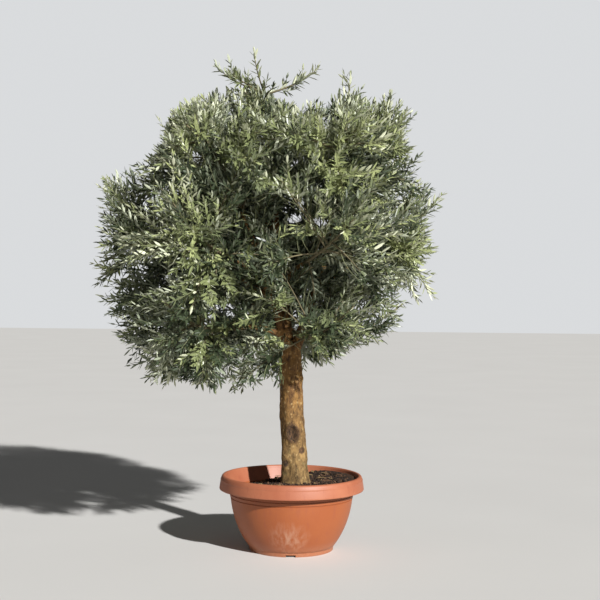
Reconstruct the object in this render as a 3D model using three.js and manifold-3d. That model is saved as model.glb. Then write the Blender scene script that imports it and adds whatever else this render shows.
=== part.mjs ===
// A potted olive tree, about 1.9 m tall: a round crown on one leaning trunk, planted in a moulded
// plastic bowl. Millimetres, +Z up. The origin is the centre of the pot's flat underside, the front
// looks along -Y and +X is to the right.
import * as THREE from "three";
import { mergeVertices } from "three/addons/utils/BufferGeometryUtils.js";
import Module from "manifold-3d";

const wasm = await Module();
wasm.setup();

const gap = 0.3; // between solids that touch on the real plant
const mergeDistance = 1e-3;
const smallestEdge = 0.02; // shorter edges are left over from joining and are collapsed

// Pot: a bowl on a foot ring, with a skirted rim that is open underneath.
const potSegments = 36;
const potHeight = 278;
const potWall = 4.5;
const rimInnerRadius = 251;
const rimOuterRadius = 263;
const rimRound = 5;
const skirtRadius = 272.5;
const skirtBottom = 226.5;
const skirtWall = 4.5;
const shoulderRadius = 232;
const shoulderHeight = 222;
const bellyRadius = 227; // where the tangents of the bowl's foot and shoulder meet
const bellyHeight = 102;
const footRadius = 159;
const footHeight = 15.6;
const footRingWidth = 12;
const footStep = 3;
const floorCorner = 4; // the floor's rounded corner inside
const undersideRise = 9; // the base is lifted between the foot ring and the middle pad
const padRadius = 34;
const bowlSteps = 4;
const notchCount = 4;
const notchWidth = 36;
const notchHeight = 8;
const drainCount = 4;
const drainRadius = 7;
const drainCircle = 95;

// Soil
const soilLevel = 250;
const soilFall = 34; // sunk towards the back left
const soilFallAngle = 2.6;
const soilMound = 15; // heaped against the rim at the back right
const soilMoundAngle = 0.6;
const soilLump = 2;
const soilBrim = 1;
const soilShrink = 1.5; // its dried edge has drawn back from the wall by this much
const soilRings = 3;
const trunkSeat = 12; // how deep the trunk's flat cut stands in the soil

// Trunk
const trunkFoot = new THREE.Vector3(13, 0, soilLevel - trunkSeat);
const trunkWaist = new THREE.Vector3(5, 2, 480);
const trunkTop = new THREE.Vector3(-19, 0, 786);
const trunkDomeHeight = 34; // the rounded crotch above the fork
const trunkFootRadius = 49;
const trunkForkRadius = 43;
const flareRadius = 11;
const flareRun = 42; // height in which the root flare dies away
const flareRight = 0.45; // the share by which the flare is stronger on the right than on average
const flareLobes = 0.3;
const domeLeast = 0.12;
const trunkSides = 14;
const trunkSteps = 13;

// Boughs
const mainLimbSides = 7;
const sideBoughSides = 5;
const boughTipRadius = 7;
const limbStep = 85; // length of one straight stretch of a bough
const boughTaper = 0.8; // power of the taper: below 1 a bough thins most near its start
const mainLimbArch = 30;
const mainLimbReach = 0.55; // where its last bend lies, as a share of the way to its mass
const sideBoughRadius = 12.5;
const sideBoughShare = 0.8; // a side bough is at most this share of its limb's radius
const sideBoughArch = 36;
const forkShares = { first: 0.1, last: 0.8, step: 0.02 }; // where on a limb side boughs may leave
const forkHeightWeight = 2;
const entryRun = 150; // a bough ends this far before the middle of its mass

// The main limbs: where each leaves the fork, which way it first goes, and the mass it ends in.
const mainLimbs = [
  { mass: "top", start: [-20, 0, 735], bend: [-48, 4, 930], radius: 27 },
  { mass: "high_1", start: [2, -4, 742], bend: [70, -30, 900], radius: 23 },
  { mass: "high_2", start: [-12, 14, 738], bend: [-30, 110, 900], radius: 21 },
  { mass: "high_4", start: [-22, -16, 745], bend: [-60, -120, 920], radius: 19 },
];

// Crown: one rounded body, drooping lower on the left, that every twig and leaf stays inside.
const crownMiddle = new THREE.Vector3(-92, 0, 1170);
const crownHalfWidth = 640;
const crownDepthRatio = 0.95;
const crownRise = 700;
const crownFall = 600;
const crownSquareness = 2.3;
const droopStart = 1100;
const droopRun = 400;
const droopShift = 110;

// Tiers of foliage masses: their height, how far out they stand as a share of the crown there,
// the direction of the first one, and the height at which their boughs leave the main limbs.
const tiers = [
  { name: "low", count: 5, height: 850, ring: 0.6, turn: 0.3, leave: 800 },
  { name: "mid", count: 6, height: 1160, ring: 0.64, turn: 0.0, leave: 940 },
  { name: "high", count: 5, height: 1480, ring: 0.58, turn: 0.35, leave: 1190 },
  { name: "top", count: 1, height: 1700, ring: 0.05, turn: 2.6, leave: 1400 },
];
const massMargin = 1.5; // kept by each mass to the plane halfway to its neighbour
const limbClearance = 2;

// Twigs and leaves
const seed = 31;
const stemLift = 120; // a stem heads away from a point this far below its mass, on the crown's axis
const stemSides = 4;
const stemSteps = 3;
const branchesPerMass = 5;
const branchSpan = [0.2, 0.8]; // shares of the stem between which the shoots leave it
const branchLean = [1.6, 0.75]; // angle to the stem, from the first shoot to the last
const branchLeanSpread = 0.1;
const branchTurnSpread = 0.3;
const branchRise = [0.02, 0.1]; // arch of a shoot as a share of its length
const bareShare = { far: 0.35, stem: 0.62, branch: 0.2 }; // the leafless share of each kind of shoot
const branchRadius = 4;
const branchTipRadius = 2.6;
const branchMost = 380;
const branchLeast = 50;
const runStep = 12;
const tipRoom = 75; // a shoot ends this far inside its space, and its last leaves fill the rest
const tipInset = 8;
const farFrom = 0.6; // long shoots leave the stem at this share
const farLeafRoom = 0.97; // share of a leaf's length from the end of a long shoot to its far tip
const farKey = 20;
const branchSteps = 2;
const leafLength = 185;
const leafSlimness = 0.31;
const leafThickness = 0.035;
const leafArch = 0.03;
const leafWidest = 0.5;
const leafTries = [1, 0.82, 0.66];
const leafPitch = 58;
const leafLean = 0.75; // angle between a leaf and its shoot
const leafLeanSpan = [0.8, 1.25]; // as a share of that angle
const leafTurnSpread = 0.4;
const leafSizeSpan = [0.8, 1.05];
const leafSunk = 0.6; // how far a leaf's root lies past the middle of its twig
const leafApart = 54; // least distance between the middles of two leaves
const goldenAngle = Math.PI * (3 - Math.sqrt(5));

// The furthest tips of the crown, as seen from the front: distance to the right and height.
const farTips = [
  { right: -167, height: 1897 },
  { right: 128, height: 1853 },
  { right: -344, height: 1842 },
  { right: 380, height: 1765 },
  { right: -490, height: 1675 },
  { right: -722, height: 1405 },
  { right: -744, height: 987 },
  { right: -640, height: 762 },
  { right: -456, height: 572 },
  { right: 598, height: 1384 },
  { right: 556, height: 938 },
];
const farTipSpread = 140; // their places in depth differ by this much
const strayTips = 12; // more long shoots, spread over the whole crown
const strayRise = 0.8; // up to this share of the crown's height above and below its middle
const strayReach = 1.05;
const strayTuck = 0.94; // kept in at the sides, where the far tips already stand out

const colour = {
  pot: new THREE.MeshStandardMaterial({ color: "#b5663f", roughness: 0.6, metalness: 0 }),
  soil: new THREE.MeshStandardMaterial({ color: "#3a2a20", roughness: 1, metalness: 0 }),
  bark: new THREE.MeshStandardMaterial({ color: "#8a6b4b", roughness: 0.95, metalness: 0 }),
  foliage: new THREE.MeshStandardMaterial({ color: "#6f7d56", roughness: 0.75, metalness: 0 }),
};

// A number from 0 to 1 that depends only on the seed and the whole numbers given.
function chance(...keys) {
  let hash = 2166136261 ^ seed;
  for (const key of keys) {
    hash = Math.imul(hash ^ key, 16777619);
    hash ^= hash >>> 15;
    hash = Math.imul(hash, 2246822507);
    hash ^= hash >>> 13;
  }
  return (hash >>> 0) / 4294967296;
}

function spread(low, high, ...keys) {
  return low + (high - low) * chance(...keys);
}

function solidFrom(geometry) {
  geometry.deleteAttribute("normal");
  geometry.deleteAttribute("uv");
  const merged = mergeVertices(geometry, mergeDistance);
  return new wasm.Manifold(
    new wasm.Mesh({
      numProp: 3,
      vertProperties: merged.attributes.position.array,
      triVerts: new Uint32Array(merged.index.array),
    }),
  );
}

function largestBody(solid) {
  const bodies = solid.decompose();
  return bodies.reduce((best, body) => (body.volume() > best.volume() ? body : best));
}

function namedMesh(name, solid, material) {
  const made = largestBody(solid.simplify(smallestEdge)).getMesh();
  const geometry = new THREE.BufferGeometry();
  geometry.setAttribute("position", new THREE.BufferAttribute(made.vertProperties, 3));
  geometry.setIndex(new THREE.BufferAttribute(made.triVerts, 1));
  geometry.computeVertexNormals();
  const mesh = new THREE.Mesh(geometry, material);
  mesh.name = name;
  return mesh;
}

// A profile of (radius, height) points turned about the upright axis.
function turned(points) {
  return new THREE.LatheGeometry(points, potSegments).rotateX(Math.PI / 2);
}

const bowlCurve = new THREE.QuadraticBezierCurve(
  new THREE.Vector2(footRadius + footStep, footHeight),
  new THREE.Vector2(bellyRadius, bellyHeight),
  new THREE.Vector2(shoulderRadius, shoulderHeight),
);

// The bowl's wall from the floor up to the rim, moved inwards by a distance.
function innerWall(inwards) {
  const points = [];
  for (let i = 0; i <= bowlSteps; i += 1) {
    const point = bowlCurve.getPoint(i / bowlSteps);
    const along = bowlCurve.getTangent(i / bowlSteps);
    points.push(new THREE.Vector2(point.x - along.y * inwards, point.y + along.x * inwards));
  }
  return points;
}

// The inside of the rim, from where the wall flares out behind the skirt.
function rimWall(inwards) {
  return [
    new THREE.Vector2(shoulderRadius + 1.5 - inwards, skirtBottom + 2),
    new THREE.Vector2(rimInnerRadius + potWall - inwards, potHeight - rimRound * 2),
  ];
}

function buildPot() {
  const floorTop = undersideRise + potWall;
  const profile = [
    new THREE.Vector2(0, 0),
    new THREE.Vector2(padRadius, 0),
    new THREE.Vector2(padRadius, undersideRise),
    new THREE.Vector2(footRadius - footRingWidth, undersideRise),
    new THREE.Vector2(footRadius - footRingWidth, 0),
    new THREE.Vector2(footRadius - 1, 0),
    new THREE.Vector2(footRadius, footHeight - 1),
    ...innerWall(0),
    ...rimWall(0),
    new THREE.Vector2(rimOuterRadius - 3, potHeight - rimRound * 2),
    new THREE.Vector2(skirtRadius - skirtWall, skirtBottom),
    new THREE.Vector2(skirtRadius, skirtBottom),
    new THREE.Vector2(rimOuterRadius + 1, potHeight - rimRound),
    new THREE.Vector2(rimOuterRadius - 1.5, potHeight - 1.5),
    new THREE.Vector2(rimOuterRadius - rimRound, potHeight),
    new THREE.Vector2(rimInnerRadius + 2, potHeight - 1.5),
    ...rimWall(potWall).reverse(),
    ...innerWall(potWall).reverse(),
    new THREE.Vector2(footRadius - floorCorner, floorTop),
    new THREE.Vector2(0, floorTop),
  ];
  let pot = solidFrom(turned(profile));
  for (let i = 0; i < notchCount; i += 1) {
    const notch = new THREE.BoxGeometry(notchWidth, footRingWidth * 4, notchHeight * 2);
    notch.translate(0, -footRadius, 0);
    notch.rotateZ((i * 2 * Math.PI) / notchCount);
    pot = pot.subtract(solidFrom(notch));
  }
  for (let i = 0; i < drainCount; i += 1) {
    const angle = ((i + 0.5) * 2 * Math.PI) / drainCount;
    const drain = new THREE.CylinderGeometry(drainRadius, drainRadius, floorTop * 4, 6);
    drain.rotateX(Math.PI / 2);
    drain.translate(drainCircle * Math.cos(angle), drainCircle * Math.sin(angle), 0);
    pot = pot.subtract(solidFrom(drain));
  }
  return pot;
}

// Height of the soil's surface at a share of the way out from the middle: sunk towards the back
// left, and heaped against the rim at the back right.
function soilHeight(angle, share) {
  const fall = soilFall * share * Math.max(0, Math.cos(angle - soilFallAngle));
  const mound = soilMound * share ** 2 * Math.max(0, Math.cos(angle - soilMoundAngle));
  return soilLevel - fall + mound;
}

function buildSoil(trunkSpace) {
  const floor = undersideRise + potWall + gap;
  const wall = [...innerWall(potWall + gap), ...rimWall(potWall + gap)];
  const wallRadius = (height) => {
    const above = wall.findIndex((point) => point.y > height);
    const [under, over] = [wall[above - 1], wall[above]];
    return THREE.MathUtils.mapLinear(height, under.y, over.y, under.x, over.x);
  };
  const top = wallRadius(soilLevel);
  const profile = [
    new THREE.Vector2(0, floor),
    new THREE.Vector2(footRadius - floorCorner - gap, floor),
    ...wall.slice(0, -1),
  ];
  for (let i = soilRings; i >= 0; i -= 1) {
    profile.push(new THREE.Vector2((top * i) / soilRings, soilLevel));
  }
  const geometry = turned(profile);
  const position = geometry.attributes.position;
  for (let i = 0; i < position.count; i += 1) {
    const angle = Math.atan2(position.getY(i), position.getX(i));
    const share = Math.hypot(position.getX(i), position.getY(i)) / top;
    const level = position.getZ(i);
    const edge = soilHeight(angle, 1) - soilLump - soilBrim;
    let height = level;
    let out = share * top;
    if (level > soilLevel - 1) {
      const places = [Math.round(position.getX(i)), Math.round(position.getY(i))];
      height = soilHeight(angle, share) + spread(-soilLump, soilLump, ...places);
      out = share > 0.99 ? wallRadius(height) - soilShrink : out;
    } else if (level > edge) {
      // where the soil is sunk, its side ends lower on the pot's wall
      height = edge - (soilLevel - level) / potHeight;
      out = wallRadius(height) - soilShrink;
    }
    position.setXYZ(i, out * Math.cos(angle), out * Math.sin(angle), height);
  }
  return solidFrom(geometry).subtract(trunkSpace);
}

// A closed tapering limb: the rings of a cylinder laid along a curve.
function limbSolid(curve, radiusAt, sides, steps) {
  const tube = new THREE.CylinderGeometry(1, 1, 1, sides, steps);
  const frames = curve.computeFrenetFrames(steps, false);
  const position = tube.attributes.position;
  const place = new THREE.Vector3();
  for (let i = 0; i < position.count; i += 1) {
    const ring = Math.round((position.getY(i) + 0.5) * steps);
    const share = ring / steps;
    const across = position.getX(i);
    const over = position.getZ(i);
    const radius = radiusAt(share, Math.atan2(over, across));
    curve.getPointAt(share, place);
    place.addScaledVector(frames.binormals[ring], across * radius);
    place.addScaledVector(frames.normals[ring], over * radius);
    position.setXYZ(i, place.x, place.y, place.z);
  }
  return solidFrom(tube);
}

const trunkCurve = new THREE.QuadraticBezierCurve3(trunkFoot, trunkWaist, trunkTop);

// The trunk's radius: a slow taper, a root flare that is stronger to the right, where the angle is
// 0, shallow flutes and a rounded top.
function trunkRadius(share, angle, extra) {
  const height = share * trunkCurve.getLength();
  const left = trunkCurve.getLength() - height;
  const taper = THREE.MathUtils.lerp(trunkFootRadius, trunkForkRadius, share);
  const lobes = 1 + flareRight * Math.cos(angle) + flareLobes * Math.sin(4 * angle);
  const flare = flareRadius * Math.exp(-height / flareRun) * lobes;
  const flutes = 1.6 * Math.sin(3 * angle + height / 90) + 1.2 * Math.sin(5 * angle - height / 70);
  const dome = Math.sqrt(Math.max(domeLeast, 1 - Math.max(0, 1 - left / trunkDomeHeight) ** 2));
  return (taper + flare + flutes) * dome + extra;
}

function trunkSolid(extra) {
  const radius = (share, angle) => trunkRadius(share, angle, extra);
  return limbSolid(trunkCurve, radius, trunkSides, trunkSteps);
}

// The crown's half width at a height, from its middle line.
function crownHalf(height) {
  const run = height > crownMiddle.z ? crownRise : crownFall;
  const share = Math.abs(height - crownMiddle.z) / run;
  return crownHalfWidth * Math.max(0, 1 - share ** crownSquareness) ** (1 / crownSquareness);
}

function crownAxis(height) {
  const droop = Math.max(0, (droopStart - height) / droopRun);
  return new THREE.Vector3(crownMiddle.x - droopShift * droop ** 2, crownMiddle.y, height);
}

function insideCrown(point) {
  const axis = crownAxis(point.z);
  const deep = (point.y - axis.y) / crownDepthRatio;
  return Math.hypot(point.x - axis.x, deep) < crownHalf(point.z);
}

function makeMasses() {
  const list = [];
  for (const tier of tiers) {
    for (let i = 0; i < tier.count; i += 1) {
      const angle = tier.turn + (i * 2 * Math.PI) / tier.count;
      const out = tier.ring * crownHalf(tier.height);
      const middle = crownAxis(tier.height);
      middle.x += out * Math.cos(angle);
      middle.y += out * crownDepthRatio * Math.sin(angle);
      const number = tier.count > 1 ? "_" + (i + 1) : "";
      list.push({ name: tier.name + number, tier, middle, key: list.length, leaves: [] });
    }
  }
  return list;
}

const masses = makeMasses();

// How far a point lies inside a mass's own space, which ends halfway to each neighbour.
function depthInSpace(mass, point) {
  let least = Infinity;
  for (const other of masses) {
    if (other !== mass) {
      const apart = mass.middle.distanceTo(other.middle);
      const own = point.distanceToSquared(mass.middle);
      least = Math.min(least, (point.distanceToSquared(other.middle) - own) / (2 * apart));
    }
  }
  return least;
}

// A bough ends where it enters its mass, on the side that it comes from.
function entryPoint(mass, from) {
  const approach = from.clone().sub(mass.middle).normalize();
  return mass.middle.clone().addScaledVector(approach, entryRun);
}

function makeBough(mass, curve, radius, sides) {
  const steps = Math.max(3, Math.round(curve.getLength() / limbStep));
  const radiusAt = (share) => THREE.MathUtils.lerp(radius, boughTipRadius, share ** boughTaper);
  return { mass, curve, steps, sides, radiusAt };
}

function makeMainLimbs() {
  return mainLimbs.map((limb) => {
    const mass = masses.find((one) => one.name === limb.mass);
    const start = new THREE.Vector3(...limb.start);
    const bend = new THREE.Vector3(...limb.bend);
    const above = bend.clone().lerp(mass.middle, mainLimbReach);
    above.z += mainLimbArch;
    const curve = new THREE.CubicBezierCurve3(start, bend, above, entryPoint(mass, above));
    return makeBough(mass, curve, limb.radius, mainLimbSides);
  });
}

// A side bough leaves the main limb that passes nearest to its mass, at its tier's height.
function sideBough(mass, main) {
  let best = null;
  for (const limb of main) {
    for (let share = forkShares.first; share < forkShares.last; share += forkShares.step) {
      const point = limb.curve.getPoint(share);
      const off = Math.abs(point.z - mass.tier.leave);
      const cost = point.distanceTo(mass.middle) + forkHeightWeight * off;
      if (!best || cost < best.cost) {
        best = { cost, point, radius: limb.radiusAt(share) };
      }
    }
  }
  const end = entryPoint(mass, best.point);
  const through = best.point.clone().lerp(end, 0.5);
  through.z += sideBoughArch;
  const curve = new THREE.QuadraticBezierCurve3(best.point, through, end);
  const radius = Math.min(sideBoughRadius, best.radius * sideBoughShare);
  return makeBough(mass, curve, radius, sideBoughSides);
}

function makeBoughs() {
  const main = makeMainLimbs();
  const rest = masses.filter((mass) => !main.some((limb) => limb.mass === mass));
  return [...main, ...rest.map((mass) => sideBough(mass, main))];
}

const boughs = makeBoughs();

// Points along every limb with the radius there, for keeping twigs and leaves clear.
function limbPoints() {
  const list = [];
  const count = 40;
  for (let i = 0; i <= count; i += 1) {
    list.push({ place: trunkCurve.getPoint(i / count), radius: trunkFootRadius + flareRadius });
    for (const bough of boughs) {
      list.push({ place: bough.curve.getPoint(i / count), radius: bough.radiusAt(i / count) });
    }
  }
  return list;
}

const limbs = limbPoints();

function clearOfLimbs(from, to, radius) {
  const line = new THREE.Line3(from, to);
  const nearest = new THREE.Vector3();
  return limbs.every((limb) => {
    line.closestPointToPoint(limb.place, true, nearest);
    return nearest.distanceTo(limb.place) > limb.radius + radius + limbClearance;
  });
}

// How far one can go from a point in a direction before leaving the mass's space in the crown.
function freeRun(mass, from, way) {
  const point = new THREE.Vector3();
  let run = 0;
  do {
    run += runStep;
    point.copy(from).addScaledVector(way, run);
  } while (run < branchMost && insideCrown(point) && depthInSpace(mass, point) > massMargin);
  return run - runStep;
}

// The direction that leans off a line by an angle, turned about that line.
function leaning(along, turn, lean) {
  const level = new THREE.Vector3(1, 0, 0);
  if (Math.abs(along.z) < 0.9) {
    level.set(0, 0, 1);
  }
  const first = level.cross(along).normalize();
  const second = new THREE.Vector3().crossVectors(along, first);
  const way = along.clone().multiplyScalar(Math.cos(lean));
  way.addScaledVector(first, Math.cos(turn) * Math.sin(lean));
  return way.addScaledVector(second, Math.sin(turn) * Math.sin(lean));
}

function archedCurve(from, to, rise) {
  const middle = from.clone().lerp(to, 0.5);
  middle.z += rise;
  return new THREE.QuadraticBezierCurve3(from, middle, to);
}

// The stem of a mass carries on from its bough's tip and bends outwards through the middle.
function stemOf(mass, bough) {
  const heading = bough.curve.getTangent(1);
  const foot = bough.curve.getPoint(1).addScaledVector(heading, gap);
  const outward = mass.middle.clone().sub(crownAxis(mass.middle.z - stemLift)).normalize();
  const run = freeRun(mass, mass.middle, outward) - tipRoom;
  const head = mass.middle.clone().addScaledVector(outward, run);
  const bend = foot.clone().addScaledVector(heading, entryRun);
  return new THREE.QuadraticBezierCurve3(foot, bend, head);
}

// The leafy shoots of a mass: one to each far tip that lies in its space, the end of its stem, and
// others round the stem by the golden angle.
function shootsOf(mass, stem) {
  const shoots = mass.tips.map((tip, i) => {
    const from = stem.getPoint(farFrom);
    const way = tip.clone().sub(from).normalize();
    const to = tip.clone().addScaledVector(way, -farLeafRoom * leafLength);
    return { curve: archedCurve(from, to, 0), key: farKey + i, bare: bareShare.far, far: true };
  });
  shoots.push({ curve: stem, key: 0, bare: bareShare.stem, far: false });
  for (let i = 1; i <= branchesPerMass; i += 1) {
    const share = THREE.MathUtils.lerp(...branchSpan, i / branchesPerMass);
    const off = spread(-branchTurnSpread, branchTurnSpread, mass.key, i, 1);
    const turn = mass.key + i * goldenAngle + off;
    const more = spread(-branchLeanSpread, branchLeanSpread, mass.key, i, 2);
    const lean = THREE.MathUtils.lerp(...branchLean, i / branchesPerMass) + more;
    const from = stem.getPoint(share);
    const way = leaning(stem.getTangent(share), turn, lean);
    const run = freeRun(mass, from, way) - tipRoom;
    if (run > branchLeast) {
      const to = from.clone().addScaledVector(way, run);
      const curve = archedCurve(from, to, run * spread(...branchRise, mass.key, i, 3));
      shoots.push({ curve, key: i, bare: bareShare.branch, far: false });
    }
  }
  return shoots;
}

// A leaf of six faces: arched at the middle, where it is widest, with a keel below.
function leafGeometry(leaf, size) {
  const side = new THREE.Vector3().crossVectors(leaf.face, leaf.way);
  const at = (along, across, over) => {
    const corner = leaf.root.clone().addScaledVector(leaf.way, along * size - leafSunk);
    return corner.addScaledVector(side, across * size).addScaledVector(leaf.face, over * size);
  };
  const half = leafSlimness / 2;
  const corners = [
    at(0, 0, 0),
    at(1, 0, 0),
    at(leafWidest, half, leafArch),
    at(leafWidest, -half, leafArch),
    at(leafWidest, 0, leafArch - leafThickness),
  ];
  const geometry = new THREE.BufferGeometry().setFromPoints(corners);
  return geometry.setIndex([0, 3, 2, 2, 3, 1, 0, 2, 4, 2, 1, 4, 1, 3, 4, 3, 0, 4]);
}

// The leaves of a shoot stand in opposite pairs, each pair a quarter turn on, with one at the tip.
function leavesOf(mass, shoot) {
  const leaves = [];
  const length = shoot.curve.getLength();
  const pairs = Math.floor((length * (1 - shoot.bare)) / leafPitch);
  for (let pair = 0; pair <= pairs; pair += 1) {
    const share = 1 - (tipInset + pair * leafPitch) / length;
    const root = shoot.curve.getPoint(share);
    const along = shoot.curve.getTangent(share);
    const off = spread(-leafTurnSpread, leafTurnSpread, mass.key, shoot.key, pair, 4);
    const turn = (pair * Math.PI) / 2 + off;
    const lean = leafLean * spread(...leafLeanSpan, mass.key, shoot.key, pair, 5);
    for (let i = 0; i < 2; i += 1) {
      const way = leaning(along, turn + i * Math.PI, lean);
      const face = leaning(along, turn + i * Math.PI, lean + Math.PI / 2);
      const size = leafLength * spread(...leafSizeSpan, mass.key, shoot.key, pair, 6 + i);
      leaves.push({ root, way, face, size });
    }
    if (pair === 0) {
      const face = leaning(along, turn + Math.PI / 2, Math.PI / 2);
      leaves.push({ root, way: along, face, size: leafLength });
    }
  }
  return leaves;
}

function leafInSpace(mass, geometry, far) {
  const corner = new THREE.Vector3();
  for (let i = 0; i < geometry.attributes.position.count; i += 1) {
    corner.fromBufferAttribute(geometry.attributes.position, i);
    if (depthInSpace(mass, corner) < massMargin || !(far || insideCrown(corner))) {
      return false;
    }
  }
  return true;
}

// Leaves of one pair share a root and may meet there; all others stay clear of each other.
function touchesLeaf(mass, solid, leaf, middle) {
  return mass.leaves.some((other) => {
    const apart = other.middle.distanceTo(middle);
    if (other.root === leaf.root || apart > leafLength) {
      return false;
    }
    return apart < leafApart || !other.solid.intersect(solid).isEmpty();
  });
}

// A leaf is tried at its full length and then shorter, and is left out if it still doesn't fit.
function placeLeaf(mass, leaf, far) {
  for (const share of leafTries) {
    const size = leaf.size * share;
    const geometry = leafGeometry(leaf, size);
    const tip = leaf.root.clone().addScaledVector(leaf.way, size);
    const clear = clearOfLimbs(leaf.root, tip, (size * leafSlimness) / 2);
    if (clear && leafInSpace(mass, geometry, far)) {
      const solid = solidFrom(geometry);
      const middle = leaf.root.clone().lerp(tip, leafWidest);
      if (!touchesLeaf(mass, solid, leaf, middle)) {
        mass.leaves.push({ solid, middle, root: leaf.root });
        return;
      }
    }
  }
}

function shootClear(curve) {
  const points = curve.getPoints(6);
  return points.every((point, i) => i === 0 || clearOfLimbs(points[i - 1], point, branchRadius));
}

function growMass(mass, bough) {
  const stem = stemOf(mass, bough);
  const stemRadius = (share) => THREE.MathUtils.lerp(boughTipRadius, branchTipRadius, share);
  const shootRadius = (share) => THREE.MathUtils.lerp(branchRadius, branchTipRadius, share);
  const parts = [limbSolid(stem, stemRadius, stemSides, stemSteps)];
  for (const shoot of shootsOf(mass, stem)) {
    if (shoot.curve === stem || shootClear(shoot.curve)) {
      if (shoot.curve !== stem) {
        parts.push(limbSolid(shoot.curve, shootRadius, 3, branchSteps));
      }
      leavesOf(mass, shoot).forEach((leaf) => placeLeaf(mass, leaf, shoot.far));
    }
  }
  return wasm.Manifold.union([...parts, ...mass.leaves.map((leaf) => leaf.solid)]);
}

// Every long shoot belongs to the mass in whose space its tip lies.
function dealTips() {
  const tips = farTips.map((tip, i) => {
    return new THREE.Vector3(tip.right, spread(-farTipSpread, farTipSpread, i, 90), tip.height);
  });
  for (let i = 0; i < strayTips; i += 1) {
    const rise = strayRise * (1 - (2 * (i + 0.5)) / strayTips);
    const tip = crownAxis(crownMiddle.z + rise * (rise > 0 ? crownRise : crownFall));
    const out = crownHalf(tip.z) * strayReach;
    tip.x += out * Math.cos(i * goldenAngle) * strayTuck;
    tip.y += out * Math.sin(i * goldenAngle) * crownDepthRatio;
    tips.push(tip);
  }
  for (const mass of masses) {
    mass.tips = tips.filter((tip) => depthInSpace(mass, tip) > 0);
  }
}

function buildTree() {
  const tree = new THREE.Group();
  const wideTrunk = trunkSolid(gap);
  const trunkSpace = wideTrunk.translate([0, 0, gap]).add(wideTrunk.translate([0, 0, -gap]));
  tree.add(namedMesh("pot", buildPot(), colour.pot));
  tree.add(namedMesh("soil", buildSoil(trunkSpace), colour.soil));
  tree.add(namedMesh("trunk", trunkSolid(0), colour.bark));
  const taken = [trunkSpace];
  for (const bough of boughs) {
    let solid = limbSolid(bough.curve, bough.radiusAt, bough.sides, bough.steps);
    for (const space of taken) {
      solid = solid.subtract(space);
    }
    const wider = (share) => bough.radiusAt(share) + gap;
    taken.push(limbSolid(bough.curve, wider, bough.sides, bough.steps));
    tree.add(namedMesh("bough_" + bough.mass.name, solid, colour.bark));
  }
  dealTips();
  for (const mass of masses) {
    const bough = boughs.find((one) => one.mass === mass);
    tree.add(namedMesh("foliage_" + mass.name, growMass(mass, bough), colour.foliage));
  }
  return tree;
}

export default buildTree();
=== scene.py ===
# A potted olive tree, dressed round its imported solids. Metres, +Z up, the front looks along -Y.
import bpy
import math
import numpy as np
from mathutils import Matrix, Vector, noise


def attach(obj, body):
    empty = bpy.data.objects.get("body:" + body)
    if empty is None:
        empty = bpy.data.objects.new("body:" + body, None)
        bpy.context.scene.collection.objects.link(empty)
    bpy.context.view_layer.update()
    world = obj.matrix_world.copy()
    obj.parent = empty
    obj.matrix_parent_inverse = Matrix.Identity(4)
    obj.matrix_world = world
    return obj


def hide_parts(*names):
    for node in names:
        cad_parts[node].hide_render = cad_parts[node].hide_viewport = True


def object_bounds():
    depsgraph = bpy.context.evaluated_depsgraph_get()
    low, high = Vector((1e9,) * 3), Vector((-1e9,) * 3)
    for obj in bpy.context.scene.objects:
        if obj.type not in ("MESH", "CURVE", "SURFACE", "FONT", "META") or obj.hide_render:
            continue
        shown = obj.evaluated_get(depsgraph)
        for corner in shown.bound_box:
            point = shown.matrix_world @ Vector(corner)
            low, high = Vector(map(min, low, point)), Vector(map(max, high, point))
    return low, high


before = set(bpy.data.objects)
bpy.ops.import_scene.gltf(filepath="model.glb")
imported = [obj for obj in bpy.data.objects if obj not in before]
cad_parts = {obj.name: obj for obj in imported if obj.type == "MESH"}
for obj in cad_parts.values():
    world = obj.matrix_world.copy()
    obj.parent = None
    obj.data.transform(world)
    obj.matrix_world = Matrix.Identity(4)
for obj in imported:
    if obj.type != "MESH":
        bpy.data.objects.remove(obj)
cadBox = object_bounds()
scene = bpy.context.scene
seed = 31  # the same seed as the solids, so that the boughs' shoots grow the same way
upward = np.array([0.0, 0.0, 1.0])


# Camera: where the photograph was taken from
view = {
    "place": (0.0242, -4.25, 0.938),
    "roll": -0.0105,  # the picture's top leans a little to the right
    "focal": 1124,  # pixels
    "width": 600,
}
bpy.ops.object.camera_add(location=view["place"], rotation=(math.pi / 2, view["roll"], 0))
camera = bpy.context.object
camera.name = "camera"
camera.data.sensor_width = 36
camera.data.lens = view["focal"] / view["width"] * 36
camera.data.clip_end = 200
scene.camera = camera


# Small tools
def deselectAll():
    for thing in bpy.context.selected_objects:
        thing.select_set(False)


def makeActive(piece):
    deselectAll()
    piece.select_set(True)
    bpy.context.view_layer.objects.active = piece


def srgb(code):  # "#rrggbb" to linear light
    parts = [int(code[i:i + 2], 16) / 255 for i in (1, 3, 5)]
    return [p / 12.92 if p <= 0.04045 else ((p + 0.055) / 1.055) ** 2.4 for p in parts] + [1.0]


colourMix = {"data_type": "RGBA"}


def addNode(tree, kind, settings, inputs):
    node = tree.nodes.new("ShaderNode" + kind)
    for name, value in settings.items():
        setattr(node, name, value)
    for name, value in inputs.items():
        if isinstance(value, bpy.types.Node):
            value = next(out for out in value.outputs if out.enabled)
        if isinstance(value, bpy.types.NodeSocket):
            tree.links.new(value, node.inputs[name])
        else:
            node.inputs[name].default_value = value
    return node


def newMaterial(name, roughness, ior=1.5, colour=None):
    material = bpy.data.materials.new(name)
    material.use_nodes = True
    shader = material.node_tree.nodes["Principled BSDF"]
    shader.inputs["Roughness"].default_value = roughness
    shader.inputs["IOR"].default_value = ior
    if colour:
        shader.inputs["Base Color"].default_value = srgb(colour)
    return material, material.node_tree, shader


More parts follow.
